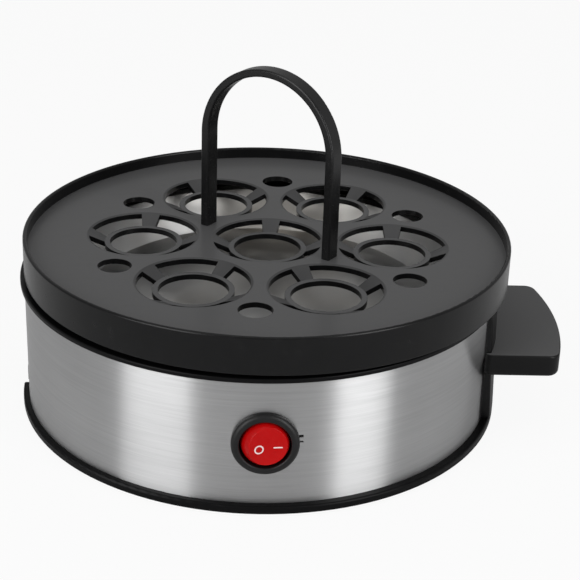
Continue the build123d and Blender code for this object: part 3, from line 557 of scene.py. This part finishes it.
handle_turn, screw_spread = 1.2, 9.2
inner_face, handle_screw_height = 0.087148, 0.0276
handle_screw = cross_screw(shank=0.00145, length=0.013, head=0.003, height=0.002, pitch=0.0011)
point_outward = Matrix.Rotation(math.pi / 2, 4, "Y")
handle_places = []
for side in (-1, 1):
    place = round_axis(inner_face, handle_turn + side * screw_spread, handle_screw_height)
    handle_places.append(place @ point_outward)
fit_screws("handle_screws", "base", handle_places, handle_screw)


# Cord inlet, clamp and terminal block: a flush rubber bush in the band's slot, and inside it a nylon saddle
# and a two-way nylon block, each held down by two small screws in the cover.
bush_black, bush_grey = (0.011, 0.011, 0.011), (0.04, 0.039, 0.038)
inlet_rubber = Finish("inlet_rubber", {"Specular IOR Level": 0.3})
skin = inlet_rubber.cloud(cells=2200, detail=4.0)
inlet_rubber.feed(inlet_rubber.shader, {
    "Base Color": inlet_rubber.shade(bush_black, bush_grey, skin),
    "Roughness": 0.5 + 0.25 * skin,
})
inlet_rubber.relief(skin, depth=0.00002, radius=0.0003)
dress(inlet_rubber, "cord_inlet")

nylon_fresh, nylon_aged = (0.7, 0.68, 0.62), (0.58, 0.55, 0.47)
nylon = Finish("natural_nylon", {
    "Specular IOR Level": 0.4, "Subsurface Weight": 0.1, "Subsurface Scale": 0.001,
})
flow_marks = nylon.cloud(cells=180, detail=4.0)
nylon.feed(nylon.shader, {
    "Base Color": nylon.shade(nylon_fresh, nylon_aged, flow_marks),
    "Roughness": 0.35 + 0.2 * flow_marks,
})
nylon.relief(flow_marks, depth=0.00002, radius=0.0002)
dress(nylon, "cord_clamp", "terminal_block")

clamp_x, clamp_reach, clamp_height = -0.074, 0.010, 0.0078
block_x, block_reach, block_height = -0.055, 0.0128, 0.0048
cover_screw = cross_screw(shank=0.0012, length=0.003, head=0.0022, height=0.0014, pitch=0.0007)
point_down = Matrix.Rotation(math.pi, 4, "X")
cover_places = []
for side in (-1, 1):
    cover_places.append(Matrix.Translation((clamp_x, side * clamp_reach, clamp_height)) @ point_down)
    cover_places.append(Matrix.Translation((block_x, side * block_reach, block_height)) @ point_down)
fit_screws("cover_screws", "base", cover_places, cover_screw)


# Push-on sleeves and inner leads: nylon sleeves on the blades, and silicone-covered wires between them.
# Each wire keeps its own colour, with a fine mottle in its drawn cover.
dress(nylon, "blade_sleeves")


def lead_finish(name, dark, light):
    """Silicone cover of one wire colour."""
    cover = Finish(name, {"Specular IOR Level": 0.35})
    drawn = cover.cloud(cells=1300, detail=4.0)
    cover.feed(cover.shader, {
        "Base Color": cover.shade(dark, light, drawn),
        "Roughness": 0.45 + 0.2 * drawn,
    })
    cover.relief(drawn, depth=0.00002, radius=0.0001)
    return cover


lead_red = lead_finish("lead_red", dark=(0.36, 0.02, 0.016), light=(0.52, 0.06, 0.05))
dress(lead_red, "lead_live", "lead_switched")
lead_white = lead_finish("lead_white", dark=(0.66, 0.66, 0.63), light=(0.8, 0.8, 0.77))
dress(lead_white, "lead_heater")
lead_black = lead_finish("lead_black", dark=(0.014, 0.014, 0.014), light=(0.05, 0.05, 0.05))
dress(lead_black, "lead_neutral", "lead_fused")


# Tray: a loose black moulding with seven seats, six steam holes, a low rim and a skirt over the collar.
# The rim and the skirt are smooth; the floor has a faint gloss, wiping marks and dried drops, and is
# painted paler than the walls, as if lit from above.
tray_dark, tray_pale = (0.0025, 0.0025, 0.0027), (0.134, 0.134, 0.136)
above_floor, below_rim = 0.0635, 0.0645
tray_black = Finish("tray_black", {"Specular IOR Level": 0.2, "Coat Roughness": 0.25, "Coat IOR": 1.5})
wipe = tray_black.cloud(cells=90, stretch=(1, 3, 1), detail=4.0)
drops = tray_black.between(tray_black.cloud(cells=240, detail=2.0), low=0.6, high=0.72)
fine = tray_black.cloud(cells=2400, detail=2.0)
edge = tray_black.rubbed(radius=0.0005)
tray_point = tray_black.node("ShaderNodeTexCoord", {}, {}, "Object")
tray_height = tray_black.node("ShaderNodeSeparateXYZ", {}, {"Vector": tray_point}, "Z")
# Painted light: the flat floor inside the rim gets a paler base colour, as if lit from above; it is also
# rougher and coated.
tray_floor_painted_lit = facing_up(tray_black) * (1 - tray_black.between(tray_height, above_floor, below_rim))
wear = 0.04 * wipe + 0.02 * drops + 0.1 * edge
tray_black.feed(tray_black.shader, {
    "Base Color": tray_black.shade(tray_dark, tray_pale, 0.5 * wear + 0.5 * tray_floor_painted_lit),
    "Roughness": 0.16 + 0.08 * wipe + 0.05 * drops + 0.04 * fine + 0.4 * tray_floor_painted_lit,
    "Coat Weight": 0.35 * tray_floor_painted_lit,
})
tray_black.relief(0.5 * fine + wipe, depth=0.00001, radius=0.0003)
dress(tray_black, "tray")


# Arch handle: a strap moulded as one arch in the tray's plastic, with a fine grain for wet fingers.
# Two small screws from under the tray hold its legs between the seats.
arch_dark, arch_pale = (0.0025, 0.0025, 0.0027), (0.07, 0.07, 0.07)
arch_black = Finish("arch_black", {"Specular IOR Level": 0.3})
leather = arch_black.cloud(cells=900, detail=3.0)
grip = arch_black.rubbed(radius=0.0005)
arch_black.feed(arch_black.shader, {
    "Base Color": arch_black.shade(arch_dark, arch_pale, 0.05 * leather + 0.4 * grip),
    "Roughness": 0.22 + 0.08 * leather,
})
arch_black.relief(leather, depth=0.000005, radius=0.0006)
dress(arch_black, "arch_handle")

tray_shift, tray_turn = 0.0023, math.radians(-3.0)
leg_reach, leg_angle, leg_screw_height = 0.0270, 150, 0.0608
arch_screw = cross_screw(shank=0.0008, length=0.009, head=0.0022, height=0.0014, pitch=0.0006)
tray_axes = Matrix.Translation((tray_shift, 0, 0)) @ Matrix.Rotation(tray_turn, 4, "Z")
arch_places = [tray_axes @ round_axis(leg_reach, leg_angle + 180 * k, leg_screw_height) for k in range(2)]
fit_screws("arch_screws", "tray", arch_places, arch_screw)


# Studio: a plain white floor, two upright softboxes beside the camera that draw the bright bands on the
# steel, and weak ones at the right and overhead. The white surroundings show to the camera and, dimmer,
# in gloss.
def seen_white(finish, in_gloss):
    """1 for rays that look at the surroundings, less for those in gloss, 0 for the light they give."""
    dark = 1
    for ray, share in (("Is Camera Ray", 1), ("Is Glossy Ray", in_gloss), ("Is Transmission Ray", 1)):
        dark = dark * (1 - share * finish.node("ShaderNodeLightPath", {}, {}, ray))
    return 1 - dark


gloss_share, floor_share, light_given = 0.12, 0.92, 0.35
paper_dark, paper_light = (0.6, 0.6, 0.6), (0.64, 0.64, 0.64)
floor_reach, floor_drop = 6.0, 0.0001
floor_white = Finish("floor_white", {"Specular IOR Level": 0.1})
paper = floor_white.cloud(cells=300)
floor_white.feed(floor_white.shader, {
    "Base Color": floor_white.shade(paper_dark, paper_light, paper),
    "Roughness": 0.8 + 0.1 * paper,
})
floor_glow = floor_white.node("ShaderNodeEmission", {}, {"Color": (1, 1, 1, 1), "Strength": 1.0})
floor_lit = Signal(floor_white, floor_white.shader.outputs[0])
floor_sockets = {0: floor_share * seen_white(floor_white, gloss_share), 1: floor_lit, 2: floor_glow}
floor_mix = floor_white.node("ShaderNodeMixShader", {}, floor_sockets)
floor_white.feed(floor_white.tree.nodes["Material Output"], {"Surface": floor_mix})
floor_body = bmesh.new()
bmesh.ops.create_grid(floor_body, x_segments=8, y_segments=8, size=floor_reach)
bmesh.ops.translate(floor_body, vec=(0, 0, -floor_drop), verts=floor_body.verts)
mesh_piece("studio_floor", floor_body, floor_white)

world = bpy.data.worlds.new("studio_surroundings")
world.use_nodes = True
bpy.context.scene.world = world


class Surroundings(Finish):
    """The world's nodes, used in the same way as a finish."""

    def __init__(self, tree):
        self.tree = tree
        self.shader = tree.nodes["Background"]


around = Surroundings(world.node_tree)
around_light = light_given + (1 - light_given) * seen_white(around, gloss_share)
around.feed(around.shader, {"Color": (1, 1, 1, 1), "Strength": around_light})


def softbox(name, angle, distance, middle, width, height, glow, pitch):
    """Rectangular lamp at an angle round the cooker that faces its axis."""
    lamp = bpy.data.lights.new(name, "AREA")
    lamp.shape = "RECTANGLE"
    lamp.size = width
    lamp.size_y = height
    lamp.energy = glow * math.pi * width * height
    stand = bpy.data.objects.new(name, lamp)
    facing = Matrix.Rotation(math.radians(90 - pitch), 4, "Y") @ Matrix.Rotation(math.pi / 2, 4, "Z")
    stand.matrix_world = round_axis(distance, angle, middle) @ facing
    stand.visible_camera = False
    bpy.context.scene.collection.objects.link(stand)


softbox("softbox_left", angle=-133.9, distance=0.9, middle=0.45, width=0.52, height=0.9, glow=4.4, pitch=0)
softbox("softbox_right", angle=-43.1, distance=0.9, middle=0.45, width=0.395, height=0.9, glow=5.2, pitch=0)
softbox("softbox_side", angle=8.0, distance=0.9, middle=0.45, width=0.7, height=0.9, glow=0.1, pitch=0)
softbox("softbox_top", angle=90.0, distance=0.1, middle=1.4, width=1.2, height=1.2, glow=0.75, pitch=90)

focal_pixels, photo_pixels, sensor_width = 1517.0, 580, 36.0
yaw, pitch, roll = math.radians(0.76), math.radians(25.0), math.radians(-1.96)
eye_place = (0.0044, -0.5206, 0.2851)
camera = bpy.data.cameras.new("photo_camera")
camera.sensor_width = sensor_width
camera.lens = focal_pixels / photo_pixels * sensor_width
eye = bpy.data.objects.new("photo_camera", camera)
ahead = Vector((math.sin(yaw) * math.cos(pitch), math.cos(yaw) * math.cos(pitch), -math.sin(pitch)))
level = Vector((math.cos(yaw), -math.sin(yaw), 0))
below = ahead.cross(level)
eye_x = math.cos(roll) * level + math.sin(roll) * below
eye_y = math.sin(roll) * level - math.cos(roll) * below
eye_axes = Matrix((eye_x, eye_y, -ahead)).transposed().to_4x4()
eye.matrix_world = Matrix.Translation(eye_place) @ eye_axes
bpy.context.scene.collection.objects.link(eye)
bpy.context.scene.camera = eye
bpy.context.scene.view_settings.view_transform = "Standard"
